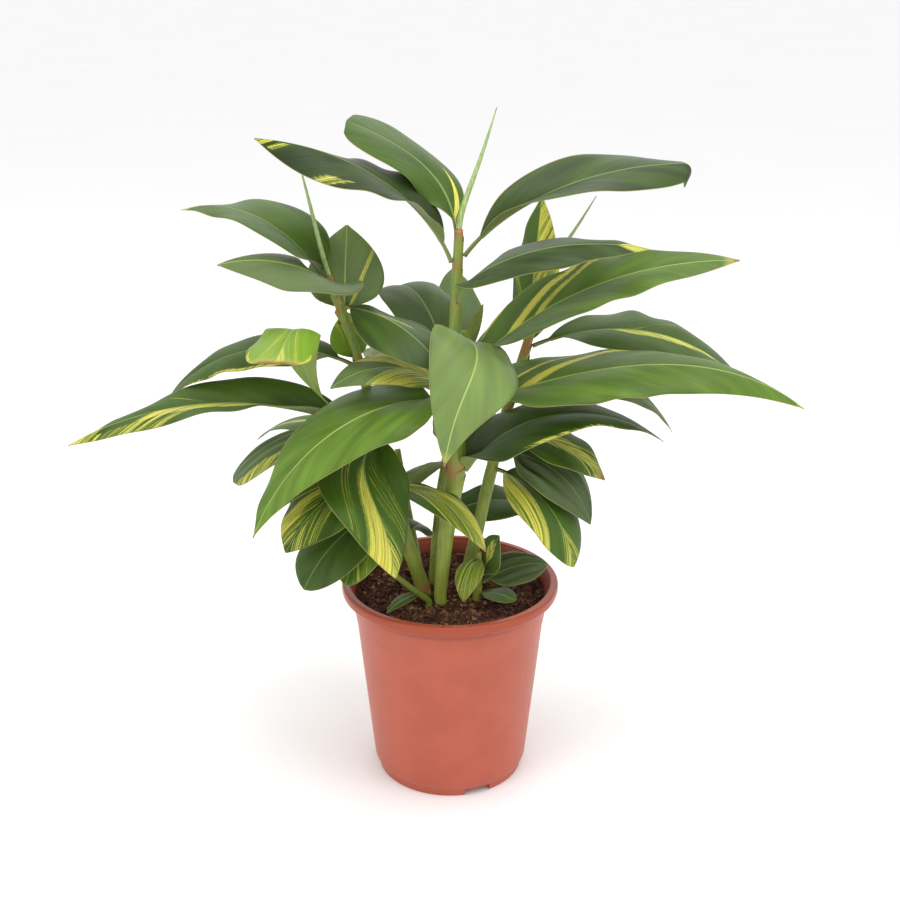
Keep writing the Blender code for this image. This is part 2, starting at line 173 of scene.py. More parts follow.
@dataclass
class Leaf:
    """One leaf: where it leaves its stem, its size, and how its midrib and blade bend."""

    height: float  # of its foot above the floor
    heading: float
    length: float
    width: float
    rise: float  # degrees that the midrib climbs at the stem
    fall: float  # the same at the tip
    bend: float = 0.5  # part of the length at which half of the bending is done
    swing: float = 0.0  # degrees that the heading turns
    swing_end: float = 1.0  # part of the length by which it has turned
    roll: float = 0.0  # degrees that the right-hand side is raised
    twist: float = 0.0  # further degrees of roll by the tip
    fold: float = 12.0  # degrees that each half stands up from the midrib
    tip_fold: float = None  # the same at the tip, where it differs
    cup: float = 35.0  # degrees that each half bends down again by its margin
    stalk: float = 0.08  # part of the length
    blunt: float = 0.9  # small for a blunt tip
    belly: float = 0.6  # small for a blade widest near the stalk
    crease: tuple = None  # where the midrib breaks, by how many degrees, over what part


@dataclass
class Look:
    """How one leaf is coloured and crumpled."""

    tone: float = 0.0  # -1 dark green, 0 mid green, 1 light green; partly the leaf's own green, partly painted light: darker for leaves in shade, lighter for leaves with sheen
    painted_sheen: float = 0.0  # 0 to 1, painted sheen: how far the green turns a pale bluish grey
    streaks: tuple = ()  # each is side (-1, 1 or 0 for both), start, end, inner, outer, amount
    slant: float = 2.3  # how far along the leaf a side vein goes while it goes out by one
    dry: float = 0.0  # length of the brown tip
    ripple: float = 0.0019  # how far the margin waves up and down
    pleat: float = 0.0  # how far folds along the blade stand up and down


# Stems as points (x, y, z, radius)
STEMS = {
    "main": [
        (-0.009, -0.03, 0.2, 0.006), (-0.004, -0.028, 0.255, 0.0074), (0.006, -0.025, 0.335, 0.0086),
        (0.004, -0.02, 0.44, 0.0056), (0.008, -0.015, 0.544, 0.0036),
    ],
    "left": [
        (-0.026, -0.012, 0.195, 0.007), (-0.045, -0.012, 0.26, 0.0062), (-0.062, -0.011, 0.34, 0.0052),
        (-0.085, -0.008, 0.43, 0.0042), (-0.108, -0.004, 0.5, 0.003),
    ],
    "right": [
        (0.0145, -0.006, 0.195, 0.0068), (0.028, -0.001, 0.26, 0.006), (0.048, 0.008, 0.35, 0.005),
        (0.074, 0.018, 0.44, 0.0042), (0.092, 0.022, 0.5, 0.003),
    ],
    "back": [
        (-0.016, 0.014, 0.195, 0.005), (-0.009, 0.036, 0.27, 0.005), (0.005, 0.058, 0.36, 0.0042),
        (0.014, 0.068, 0.43, 0.003),
    ],
    "back_left": [
        (-0.031, 0.024, 0.194, 0.0055), (-0.042, 0.045, 0.25, 0.0045), (-0.052, 0.065, 0.31, 0.003),
    ],
    "side": [
        (0.026, -0.022, 0.192, 0.004), (0.027, -0.023, 0.215, 0.0033), (0.028, -0.023, 0.238, 0.0025),
    ],
}

CUT_STALK = [
    (-0.02, -0.034, 0.192, 0.003), (-0.034, -0.039, 0.206, 0.0029), (-0.068, -0.046, 0.24, 0.0021),
]

# Rolled young leaves: the tip, and the radius at the stem
SPEARS = {
    "main": (0.04, -0.01, 0.648, 0.0028),
    "left": (-0.133, 0, 0.606, 0.0024),
    "right": (0.131, 0.022, 0.567, 0.0022),
}

LEAVES = {
    "main": [
        Leaf(0.54, 116, 0.147, 0.074, 84, 20, bend=0.24, swing=62, swing_end=0.7, roll=4, twist=14, fold=4,
             cup=20, belly=0.65, blunt=0.3),
        Leaf(0.52, 5, 0.24, 0.07, 56, -4, bend=0.35, roll=-19, fold=72, tip_fold=-28, cup=20, belly=0.85,
             blunt=0.75, crease=(0.92, -110, 0.08)),
        Leaf(0.515, 188, 0.21, 0.074, 72, 5, bend=0.4, roll=13, fold=68, tip_fold=-58, cup=20, belly=0.85),
        Leaf(0.48, 290, 0.195, 0.06, 80, -10, bend=0.22, swing=66, swing_end=0.4, roll=-15, fold=0,
             tip_fold=-10, cup=15),
        Leaf(0.444, 298, 0.163, 0.09, 44, -75, bend=0.3, swing=-62, swing_end=0.7, roll=32, fold=14,
             tip_fold=0, cup=25, stalk=0.15, belly=0.3, blunt=1.15),
        Leaf(0.412, 125, 0.135, 0.072, 62, -60, bend=0.75, belly=0.8, blunt=0.7),
        Leaf(0.413, 354, 0.27, 0.074, 50, 0, roll=-23, fold=28, tip_fold=0, cup=15),
        Leaf(0.4, 199, 0.118, 0.05, 48, -35, roll=20),
        Leaf(0.39, 211, 0.235, 0.098, 16, -66, roll=9, belly=0.42, blunt=1.1),
        Leaf(0.384, 352, 0.315, 0.09, 21, -38, bend=0.72, roll=-15, fold=24, tip_fold=-12, belly=0.35),
        Leaf(0.322, 352, 0.205, 0.08, 60, -36, roll=-28, twist=34, fold=14, stalk=0.02, belly=0.5,
             blunt=1.1),
        Leaf(0.322, 124, 0.1, 0.058, 0, -70),
    ],
    "left": [
        Leaf(0.492, 175, 0.156, 0.08, 60, -18, bend=0.6, roll=25, twist=-30, fold=45, tip_fold=-10, cup=20,
             belly=0.5),
        Leaf(0.482, 265, 0.128, 0.074, 60, -14, bend=0.4, swing=-82, swing_end=0.5, twist=28, fold=8,
             tip_fold=-10, cup=25, belly=0.3),
        Leaf(0.472, 320, 0.13, 0.064, 10, -45, belly=0.8, roll=-10, fold=-15, cup=15),
        Leaf(0.463, 87, 0.083, 0.072, 74, 56, bend=0.6, belly=0.5),
        Leaf(0.417, 170, 0.198, 0.055, 25, -50, roll=20),
        Leaf(0.421, 138, 0.046, 0.043, 82, 72, roll=10),
        Leaf(0.366, 203, 0.196, 0.06, -13, 98, bend=0.2, swing=62, stalk=0.25, belly=1, blunt=0.25,
             crease=(0.68, -104, 0.08)),
        Leaf(0.352, 182, 0.292, 0.06, 27, -30, roll=14, fold=75, tip_fold=-25, cup=20),
        Leaf(0.35, 248, 0.158, 0.09, 0, -82, swing=62, swing_end=0.7, roll=10),
        Leaf(0.346, 199, 0.146, 0.06, 30, -50, blunt=0.35),
        Leaf(0.33, 205, 0.14, 0.055, 22, -66, roll=10),
        Leaf(0.312, 214, 0.124, 0.074, 8, -60, roll=18, blunt=0.8),
        Leaf(0.303, 178, 0.118, 0.045, 14, -88),
        Leaf(0.299, 313, 0.122, 0.042, 26, -60, swing=15),
        Leaf(0.28, 215, 0.118, 0.07, 0, -62, roll=16, blunt=0.6),
        Leaf(0.27, 226, 0.084, 0.046, -5, -68, roll=12, blunt=0.6),
        Leaf(0.25, 68, 0.046, 0.036, 10, -40, roll=-20),
        Leaf(0.192, 235, 0.05, 0.016, 20, -20),
    ],
    "right": [
        Leaf(0.42, 66, 0.145, 0.048, 78, 76, fold=0),
        Leaf(0.428, 12, 0.24, 0.076, 21, -50, roll=-20, stalk=0.06, belly=0.9),
        Leaf(0.375, 25, 0.205, 0.05, 25, -60, roll=-20),
        Leaf(0.35, 345, 0.106, 0.068, 5, -52, roll=-10),
        Leaf(0.33, 340, 0.116, 0.07, 4, -75, roll=-14),
        Leaf(0.312, 322, 0.126, 0.074, 0, -80, blunt=0.7),
    ],
    "back": [
        Leaf(0.405, 320, 0.06, 0.022, 80, 60),
        Leaf(0.4, 95, 0.11, 0.05, 65, 20),
        Leaf(0.392, 14, 0.1, 0.05, 60, 20),
        Leaf(0.35, 120, 0.2, 0.07, 45, -40),
        Leaf(0.3, 75, 0.19, 0.068, 35, -50),
        Leaf(0.252, 12, 0.098, 0.054, 30, -30, roll=-20),
    ],
    "back_left": [
        Leaf(0.29, 150, 0.19, 0.065, 45, -45),
    ],
    "side": [
        Leaf(0.23, 250, 0.055, 0.027, 25, -85),
        Leaf(0.215, 330, 0.048, 0.036, 80, 60, roll=-60),
        Leaf(0.205, 16, 0.068, 0.044, 34, -14, roll=-22, blunt=0.7),
        Leaf(0.195, 328, 0.038, 0.03, 28, -20, blunt=0.6),
    ],
}

# A look for each leaf of each shoot, in the order of LEAVES
LOOKS = {
    "main": [
        Look(-0.3, 0.05, [(1, -0.02, 0.12, 0.15, 0.6, 0.55), (1, 0.22, 0.26, 0.4, 0.9, 0.48)]),
        Look(-0.75, 0.25, [(0, 0.93, 1.1, 0, 1, 0.4)]),
        Look(-1, 0.1, [(-1, 0.22, 0.4, 0.75, 1, 0.52), (0, 0.8, 0.9, 0.1, 0.7, 0.44),
             (0, 0.9, 1.1, 0, 1, 0.5)]),
        Look(-0.75, 0.1, [(0, 0.84, 1.1, 0, 1, 0.52)]),
        Look(0.95, 0.9, dry=0.004),
        Look(-0.5, 0.5, [(1, 0.2, 0.26, 0.3, 0.9, 0.44), (-1, 0.35, 0.4, 0.1, 0.8, 0.44)]),
        Look(0.45, 0.25, [(-1, 0.19, 0.265, 0, 1.1, 0.66), (-1, 0.3, 0.35, 0, 1.1, 0.63),
             (-1, -0.12, 0.03, 0.4, 1.1, 0.66), (-1, 0.06, 0.08, 0.1, 0.9, 0.38)], slant=1.7, dry=0.005),
        Look(0.6, 0.9, [(0, -0.2, 0.42, 0, 1, 0.5)]),
        Look(0.6, 0.1, [(0, 0.95, 1.1, 0, 1, 0.4)]),
        Look(0.45, 0.15, [(-1, 0.15, 0.22, 0.05, 1.1, 0.66), (-1, 0.05, 0.09, 0.2, 1, 0.6),
             (-1, 0.3, 0.315, 0.5, 0.95, 0.4), (1, 0.93, 1.1, 0, 1, 0.42)], slant=1.8),
        Look(-0.55, 0.05, [(1, -0.15, 0.2, 0.93, 1, 0.55), (1, 0.2, 0.55, 0.95, 1, 0.5),
             (0, 0.8, 1.1, 0.2, 1, 0.36)]),
        Look(-0.6),
    ],
    "left": [
        Look(-0.15, 0.15, [(0, 0.86, 1.1, 0, 1, 0.5), (1, 0.3, 0.34, 0.4, 0.9, 0.4)]),
        Look(0.35, 0.9, [(0, 0.9, 1.1, 0.5, 1, 0.42)]),
        Look(-0.5, 0.15, [(-1, 0.22, 0.42, 0, 0.4, 0.46), (-1, 0.1, 0.22, 0.3, 0.9, 0.42)]),
        Look(0.6, 1, [(1, -0.15, 0.06, 0.3, 1, 0.54)]),
        Look(-0.3, 0.1, [(-1, 0, 0.5, 0.92, 1, 0.5), (-1, 0.5, 0.8, 0.95, 1, 0.46)]),
        Look(1.9, 0, [(0, -0.1, 1, 0.1, 1, 0.42)]),
        Look(1.3, 0, [(0, 0.5, 1.2, 0, 1, 0.38), (0, 0.2, 1.4, 0.93, 1.1, 0.55), (-1, 0.8, 1.3, 0, 1, 0.55),
             (1, 0.95, 1.3, 0, 1, 0.5)], slant=4.5, dry=0.003),
        Look(-0.25, 0.1, [(-1, 0.25, 0.7, 0, 0.42, 0.55), (-1, 0.45, 0.95, 0.45, 1, 0.45),
             (0, 0.86, 1.1, 0, 1, 0.53), (1, 0.5, 0.54, 0.1, 0.6, 0.42)]),
        Look(-0.2, 0, [(1, 0.2, 1.3, 0, 1.1, 0.55), (1, -0.2, 0.1, 0, 0.9, 0.35),
             (-1, 0.6, 1.2, 0, 1, 0.46), (-1, 0, 0.5, 0.1, 0.8, 0.35)], slant=3.2),
        Look(-0.3, 0.7, [(-1, 0.1, 0.9, 0.5, 1, 0.45)], pleat=0.0015),
        Look(0.15, 0.1, [(0, 0.2, 0.8, 0.2, 0.9, 0.42)]),
        Look(-0.1, 0, [(1, 0.05, 0.6, 0.3, 1, 0.56), (0, 0.1, 0.9, 0.1, 0.9, 0.42)], slant=3.2),
        Look(0.4, 0, [(0, 0.3, 0.7, 0.1, 0.8, 0.4)]),
        Look(0.1, 0, [(-1, -0.2, 1, 0.35, 1, 0.54), (0, -0.1, 1, 0, 1, 0.44)], slant=5, dry=0.003),
        Look(-0.35, 0.1, [(1, 0.3, 0.36, 0.1, 0.9, 0.42)]),
        Look(0.5, 0, [(0, 0.1, 0.8, 0.1, 0.9, 0.42)]),
        Look(-0.5),
        Look(-0.25, 0.1, ripple=0.003),
    ],
    "right": [
        Look(0, 0.2, [(1, -0.4, 1.2, 0, 1, 0.5), (-1, 0.1, 0.3, 0.2, 0.9, 0.4)]),
        Look(-0.3, 0.15, [(1, 0.3, 0.75, 0, 0.22, 0.54), (-1, 0.35, 0.42, 0, 0.8, 0.45)]),
        Look(0, 0.6),
        Look(-0.35, 0, [(0, 0.05, 0.9, 0, 0.28, 0.52), (0, 0.2, 0.8, 0.3, 0.9, 0.42)], slant=3, dry=0.005),
        Look(-0.6, 0.75, pleat=0.0036),
        Look(-0.05, 0, [(1, -0.8, 0.16, -0.2, 1.2, 0.54), (0, 0.6, 1.2, 0, 1, 0.44)], slant=3),
    ],
    "back": [
        Look(0, 0.1, [(0, 0, 1, 0.1, 1, 0.47)]),
        Look(-0.2, 0.6, [(-1, 0.3, 0.35, 0, 0.9, 0.5)]),
        Look(-0.1, 0.6),
        Look(-0.2, 0.2, [(1, 0.2, 0.5, 0, 0.8, 0.5), (-1, 0.5, 0.6, 0.2, 0.9, 0.45)]),
        Look(0, 0.1, [(-1, 0.1, 0.6, 0.1, 0.7, 0.54), (1, 0.3, 0.7, 0.4, 0.9, 0.44)]),
        Look(-0.5, 0.1),
    ],
    "back_left": [
        Look(0.1, 0.1, [(1, 0.1, 0.4, 0, 1, 0.52), (-1, 0.4, 0.8, 0, 0.5, 0.46)]),
    ],
    "side": [
        Look(0.1, 0, [(0, -9, 9, 0, 1.1, 0.42)], slant=14),
        Look(-0.3, 0.2, [(0, 0.2, 0.8, 0, 0.3, 0.5)]),
        Look(-0.6, 0.55, pleat=0.0016, ripple=0.0028),
        Look(0, 0.1, ripple=0.0026),
    ],
}


# Shapes


def smooth(x):
    """Ease from 0 to 1 as x goes from 0 to 1."""
    x = np.clip(x, 0, 1)
    return x * x * (3 - 2 * x)


def bump_between(x, start, end, soft):
    """1 between start and end, easing to 0 outside over soft."""
    return smooth((x - start) / soft + 0.5) * smooth((end - x) / soft + 0.5)


def unit(vectors):
    return vectors / np.maximum(norm(vectors, axis=-1, keepdims=True), 1e-12)


def angles_round(steps):
    return np.linspace(0, 2 * math.pi, steps, endpoint=False)


def circle(radius, height, steps):
    angles = angles_round(steps)
    return [(radius * math.cos(angle), radius * math.sin(angle), height) for angle in angles]


def turn_about_z(points, degrees):
    cos, sin = math.cos(math.radians(degrees)), math.sin(math.radians(degrees))
    return points @ np.array([[cos, sin, 0], [-sin, cos, 0], [0, 0, 1]])


def layer(*parts):
    """Three numbers for each point of a mesh; a single number is the same at all of them."""
    return np.stack(np.broadcast_arrays(*parts), -1).reshape(-1, 3)


def add_piece(name, points, faces, material, slot, node=None, **layers):
    """A smooth mesh that can stand for a CAD node, with named layers for its material."""
    mesh = bpy.data.meshes.new(name)
    mesh.from_pydata([tuple(point) for point in points], [], faces)
    mesh.shade_smooth()
    mesh.materials.append(materials[material])
    for key, values in layers.items():
        attribute = mesh.attributes.new(key, "FLOAT_VECTOR", "POINT")
        attribute.data.foreach_set("vector", np.asarray(values, np.float32).ravel())
    piece = bpy.data.objects.new(name, mesh)
    bpy.context.scene.collection.objects.link(piece)
    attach(piece, "root")
    if node:
        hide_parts(node)
    return piece


def blade_half_width(leaf, t):
    """Half the blade's width at each part t of the leaf's length."""
    along = np.clip((t - leaf.stalk) / (1 - leaf.stalk), 0, 1)
    widest = leaf.belly / (leaf.belly + leaf.blunt)
    peak = widest**leaf.belly * (1 - widest) ** leaf.blunt
    half = along**leaf.belly * (1 - along) ** leaf.blunt / peak * leaf.width / 2
    least = STALK_HALF_WIDTH + (TIP_HALF_WIDTH - STALK_HALF_WIDTH) * t
    return np.maximum(half, least)


def midrib(leaf, rows):
    """Points, directions and turns along the midrib, which starts at the origin and heads along +X."""
    part = np.linspace(0, 1, rows * SUBSTEPS + 1)
    climb = leaf.rise + (leaf.fall - leaf.rise) * part ** (math.log(0.5) / math.log(leaf.bend))
    if leaf.crease:
        place, angle, spread = leaf.crease
        climb = climb + angle * smooth((part - place) / spread + 0.5)
    climb = np.radians(climb)
    turn = np.radians(leaf.swing * smooth(part / leaf.swing_end))
    direction = np.stack([np.cos(climb) * np.cos(turn), np.cos(climb) * np.sin(turn), np.sin(climb)], -1)
    steps = (direction[1:] + direction[:-1]) / 2 * leaf.length / (rows * SUBSTEPS)
    points = np.concatenate([np.zeros((1, 3)), np.cumsum(steps, axis=0)])
    return points[::SUBSTEPS], direction[::SUBSTEPS], turn[::SUBSTEPS]


def blade(leaf, rows, columns):
    """The blade's middle surface: a grid of points, rows from stalk to tip, columns from -1 to 1."""
    points, direction, turn = midrib(leaf, rows)
    t = np.linspace(0, 1, rows + 1)
    level = np.stack([np.sin(turn), -np.cos(turn), np.zeros_like(turn)], -1)
    above = np.cross(level, direction)
    roll = np.radians(leaf.roll * smooth(t / ROLL_END) + leaf.twist * t)[:, None]
    across = np.cos(roll) * level + np.sin(roll) * above
    normal = np.cos(roll) * above - np.sin(roll) * level
    opened = smooth(t / STALK_END)
    tip_fold = leaf.fold if leaf.tip_fold is None else leaf.tip_fold
    fold = (leaf.fold + (tip_fold - leaf.fold) * t) * opened + STALK_FOLD * (1 - opened)
    cup = leaf.cup * smooth(t / CUP_END)
    half = blade_half_width(leaf, t)
    grid = np.zeros((rows + 1, len(columns), 3))
    for column, v in enumerate(columns):
        middle = (np.arange(CROSS_SAMPLES) + 0.5) / CROSS_SAMPLES * abs(v)
        tilt = np.radians(fold[:, None] - cup[:, None] * middle)
        out = v * np.cos(tilt).mean(axis=1) * half
        up = abs(v) * np.sin(tilt).mean(axis=1) * half
        grid[:, column] = points + across * out[:, None] + normal * up[:, None]
    return grid


def leaf_place(leaf, node):
    """How far the leaf's own grid moves to lie where its CAD node is."""
    rows = CAD_LONG_ROWS if leaf.length >= CAD_LONG_LEAF else CAD_SHORT_ROWS
    grid = turn_about_z(blade(leaf, rows, np.linspace(-1, 1, CAD_COLUMNS + 1)), leaf.heading)
    low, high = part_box(node)
    middle = (np.array(low) + np.array(high)) / 2
    return middle - (grid.min(axis=(0, 1)) + grid.max(axis=(0, 1))) / 2


def pleats_and_waves(leaf, look, t, v, phases):
    """How far folds along the blade, and waves along its margins and across it, raise each point."""
    way = 2 * math.pi * leaf.length / WAVE_LENGTH * t
    side = np.where(v > 0, phases[0], phases[1])
    out = np.abs(v)
    arch = np.sin(math.pi * out)
    fade = smooth((t - leaf.stalk) / WAVE_FADE) * (1 - t**6)
    pleats = np.sin(out * 15 + side + 2.2 * np.sin(way * 0.16 + phases[5]))
    pleats = pleats * arch * (0.6 + 0.4 * np.sin(way * 0.5 + phases[4]))
    beat = 0.55 + 0.45 * np.sin(way * 0.23 + phases[2] + side)
    margin = np.sin(way + side + 1.5 * np.sin(way * 0.31 + phases[3])) * beat
    humps = np.sin(way * 0.42 + phases[4] + side) * 0.5 * arch
    waves = min(1.0, leaf.width / WIDE_LEAF) * (out**2.2 * margin * 1.2 + humps)
    return look.pleat * pleats * fade, look.ripple * waves * fade


def streak_mask(leaf, look, part, v):
    """How yellow each point is: streaks run along the side veins, so part counts along them."""
    mask = np.zeros_like(part)
    soft = (0.006 + 0.65 * look.slant * leaf.width / HALF_COLUMNS) / leaf.length
    for side, start, end, inner, outer, amount in look.streaks:
        across = bump_between(np.abs(v), inner - STREAK_EDGE, outer + STREAK_EDGE, 2 * STREAK_EDGE)
        on_side = (side == 0) | (np.sign(v) == side)
        mask = np.maximum(mask, bump_between(part, start, end, soft) * across * on_side * amount)
    return mask


def shell(top, bottom):
    """Points and faces of a closed sheet between two grids of the same shape."""
    rows, columns = top.shape[:2]
    over = np.arange(rows * columns).reshape(rows, columns)
    under = over + rows * columns
    sides = [
        (over[:-1, :-1], over[:-1, 1:], over[1:, 1:], over[1:, :-1]),
        (under[:-1, :-1], under[1:, :-1], under[1:, 1:], under[:-1, 1:]),
        (over[:-1, 0], over[1:, 0], under[1:, 0], under[:-1, 0]),
        (over[1:, -1], over[:-1, -1], under[:-1, -1], under[1:, -1]),
        (over[0, 1:], over[0, :-1], under[0, :-1], under[0, 1:]),
        (over[-1, :-1], over[-1, 1:], under[-1, 1:], under[-1, :-1]),
    ]
    faces = []
    for corners in sides:
        faces += np.stack(corners, -1).reshape(-1, 4).tolist()
    return np.concatenate([top.reshape(-1, 3), bottom.reshape(-1, 3)]), faces


def make_leaf(node, leaf, look, seed):
    """A thin closed blade with a midrib and wavy margins."""
    rows = max(LEAST_ROWS, int(leaf.length / ROW_STEP))
    columns = (np.arange(1, HALF_COLUMNS + 1) / HALF_COLUMNS) ** COLUMN_CROWDING
    columns = np.concatenate([-columns[::-1], [0.0], columns])
    t, v = np.meshgrid(np.linspace(0, 1, rows + 1), columns, indexing="ij")
    half = blade_half_width(leaf, t)
    out = np.abs(v) * half
    grid = blade(leaf, rows, columns)
    normal = unit(np.cross(np.gradient(grid, axis=1), np.gradient(grid, axis=0)))
    phases = np.random.default_rng(seed).uniform(0, 2 * math.pi, 6)
    pleats, waves = pleats_and_waves(leaf, look, t, v, phases)
    grid = grid + normal * (pleats + waves)[..., None]
    rib = RIB_WIDTH * min(1.2, 0.6 + leaf.length) * (1 - RIB_TAPER * t)
    sheet = SHEET_HALF + STALK_EXTRA * (1 - smooth(t / (leaf.stalk + 0.05)))
    groove = RIB_GROOVE * rib * np.exp(-((out / (0.8 * rib)) ** 2)) * smooth(t / 0.1)
    ridge = RIB_RIDGE * rib * np.exp(-((out / rib) ** 2)) * smooth((half / rib - 1) / 2)
    top = grid + normal * (sheet - groove)[..., None]
    points, faces = shell(top, grid - normal * (sheet + ridge)[..., None])
    points = turn_about_z(points, leaf.heading) + leaf_place(leaf, node)
    vein = t * leaf.length - look.slant * out - VEIN_CURVE * out**2
    mask = streak_mask(leaf, look, vein / leaf.length, v)
    layers = {
        "vein": layer(vein, out, seed * 0.731 + np.sign(v) * 3.1),
        "paint": layer(mask, look.tone, look.painted_sheen),
        "tip": layer((1 - t) * leaf.length, look.dry, pleats / DEEP_PLEAT),
    }
    layers = {key: np.tile(values, (2, 1)) for key, values in layers.items()}
    layers["edge"] = np.concatenate([layer(half - out, out / rib, under) for under in (0, 1)])
    add_piece(f"look_{node}", points, faces, "leaf", "leaf_green", node, **layers)


def curve_through(points, step):
    """A smooth line from the soil through (x, y, z, radius) points, at about the step between its own."""
    x, y, _, radius = points[0]
    points = np.array([(x, y, STEM_FOOT, radius)] + points)
    padded = np.concatenate([[2 * points[0] - points[1]], points, [2 * points[-1] - points[-2]]])
    line = []
    for before, start, end, after in zip(padded, padded[1:], padded[2:], padded[3:]):
        reach = norm(end[:3] - start[:3])
        leave = (end - before) / 2 * (reach / max(norm(start[:3] - before[:3]), reach))
        arrive = (after - start) / 2 * (reach / max(norm(after[:3] - end[:3]), reach))
        for s in np.linspace(0, 1, max(2, int(reach / step)), endpoint=False):
            ends = start * (2 * s**3 - 3 * s**2 + 1) + end * (3 * s**2 - 2 * s**3)
            line.append(ends + leave * (s**3 - 2 * s**2 + s) + arrive * (s**3 - s**2))
    line.append(points[-1])
    return np.array(line)


def ring_faces(rings, inward=False):
    """Faces between rings of corners that follow one another. A ring on the axis is one corner repeated."""
    faces = []
    for lower, upper in zip(rings, rings[1:]):
        for k in range(len(lower)):
            after = (k + 1) % len(lower)
            outside = [lower[k], lower[after], upper[after], upper[k]]
            inside = [lower[k], upper[k], upper[after], lower[after]]
            faces.append(tuple(dict.fromkeys(inside if inward else outside)))
    return faces


def sweep(line, ring=None, sides=STEM_SIDES, across=(0, 1, 0), closed=True):
    """Points and faces of a tube along (x, y, z, radius) points. ring(part, angle) scales its radius."""
    direction = unit(np.gradient(line[:, :3], axis=0))
    sideways = unit(np.cross(direction, across))
    forward = np.cross(direction, sideways)
    angle = angles_round(sides)
    reach = line[:, 3:] * np.ones(sides)
    if ring:
        reach = reach * ring(np.linspace(0, 1, len(line))[:, None], angle)
    right = sideways[:, None, :] * (np.cos(angle) * reach)[..., None]
    ahead = forward[:, None, :] * (np.sin(angle) * reach)[..., None]
    points = (line[:, None, :3] - right + ahead).reshape(-1, 3)
    rings = np.arange(len(points)).reshape(-1, sides).tolist()
    faces = ring_faces(rings)
    if closed:
        faces += [rings[0][::-1], rings[-1]]
    return points, faces


def join(parts):
    """One mesh's points, faces and layer from several."""
    points, faces, layers, base = [], [], [], 0
    for part_points, part_faces, part_layer in parts:
        points.append(part_points)
        faces += [tuple(corner + base for corner in face) for face in part_faces]
        layers.append(part_layer)
        base += len(part_points)
    return np.concatenate(points), faces, np.concatenate(layers)


def sheath(line, leaf):
    """Points and faces of a leaf's sheath, and how far up it each point is."""
    low = max(leaf.height - SHEATH_LENGTH, line[0, 2] + 0.001)
    high = min(leaf.height + SHEATH_RISE, line[-1, 2] - 0.0005)
    heights = np.linspace(low, high, SHEATH_RINGS)
    rings = np.stack([np.interp(heights, line[:, 2], line[:, k]) for k in range(4)], -1)
    part = np.linspace(0, 1, SHEATH_RINGS)
    rings[:, 3] += part**0.7 * SHEATH_OFFSET + 0.0001
    points, faces = sweep(rings, closed=False)
    heading = math.radians(leaf.heading)
    middle = np.repeat(rings, STEM_SIDES, axis=0)
    away = (points[:, :2] - middle[:, :2]) / middle[:, 3:]
    toward = away @ (math.cos(heading), math.sin(heading))
    part = np.repeat(part, STEM_SIDES)
    points[:, 2] -= part**2 * (1 - toward) / 2 * (SHEATH_RISE + SHEATH_DROP)
    return points, faces, part


def make_stem(shoot):
    """A stem wrapped in leaf sheaths, each open at its top on the side away from its leaf."""
    line = curve_through(STEMS[shoot], STEM_STEP)
    draw = random.Random(shoot)
    points, faces = sweep(line, lambda part, angle: 1.0 - 0.02 * np.cos(3 * angle + 8 * part))
    heights = np.array([leaf.height for leaf in LEAVES[shoot]])
    near = np.min(np.abs(points[:, 2:] - heights - 0.004), axis=1)
    parts = [(points, faces, layer(0, np.exp(-((near / PINK_REACH) ** 2)), 0))]
    for leaf in LEAVES[shoot]:
        points, faces, part = sheath(line, leaf)
        pink = smooth((part - 0.55) / 0.45) * draw.uniform(0.3, 1.0)
        parts.append((points, faces, layer(0, pink, 1.0 + draw.random())))
    points, faces, pinkness = join(parts)
    add_piece(f"look_{shoot}_stem", points, faces, "stem", "stem_green", f"{shoot}_stem", sheath=pinkness)


def make_spear(shoot):
    """A young leaf rolled up on itself, with the edge of the roll winding round it."""
    *tip, foot_radius = SPEARS[shoot]
    last, end = (np.array(place[:3]) for place in STEMS[shoot][-2:])
    reach = norm(tip - end)
    part = np.linspace(0, 1, SPEAR_RINGS)[:, None]
    keep = (1 - part) ** SPEAR_BEND_CURVE
    straight_on = end + (end - last) / norm(end - last) * reach * part
    centre = straight_on * keep + (end + (tip - end) * part) * (1 - keep)
    radius = foot_radius * (1 - SPEAR_TAPER * part**SPEAR_TAPER_CURVE)

    def wound(part, angle):
        return (angle / (2 * math.pi) + SPEAR_WINDING * part + SPEAR_EDGE) % 1.0

    points, faces = sweep(np.hstack([centre, radius]), lambda part, angle: 0.9 + 0.16 * wound(part, angle))
    winding = layer(0, wound(part, angles_round(STEM_SIDES)), part)
    add_piece(f"look_{shoot}_spear", points, faces, "spear", "spear_green", f"{shoot}_spear", sheath=winding)


def make_cut_stalk():
    """The old stalk, dry and split at its cut end."""
    line = curve_through(CUT_STALK, STALK_STEP)

    def ring(part, angle):
        dry = 0.07 * np.sin(7 * angle + 3 * part) + 0.05 * np.sin(13 * angle)
        return 1.0 + dry * (0.3 + 0.7 * part) - 0.12 * smooth((part - 0.9) / 0.1)

    points, faces = sweep(line, ring)
    points[-STEM_SIDES:] += np.random.default_rng(5).normal(0, 0.0005, (STEM_SIDES, 3))
    up = layer(0, np.repeat(np.linspace(0, 1, len(line)), STEM_SIDES), 0)
    add_piece("look_cut_stalk", points, faces, "stalk", "stalk_brown", "cut_stalk", sheath=up)


def rounded(corners):
    """An outline of (radius, height) places from corners of (radius, height, rounding)."""
    outline = []
    for k, (*place, rounding) in enumerate(corners):
        corner = np.array(place)
        back = np.array(corners[k - 1][:2]) - corner
        ahead = np.array(corners[(k + 1) % len(corners)][:2]) - corner
        reach = min(rounding, 0.45 * norm(back), 0.45 * norm(ahead))
        for s in np.linspace(0, 1, ARC_POINTS if rounding else 1):
            outline.append(tuple(corner + unit(back) * reach * (1 - s) ** 2 + unit(ahead) * reach * s**2))
    return outline


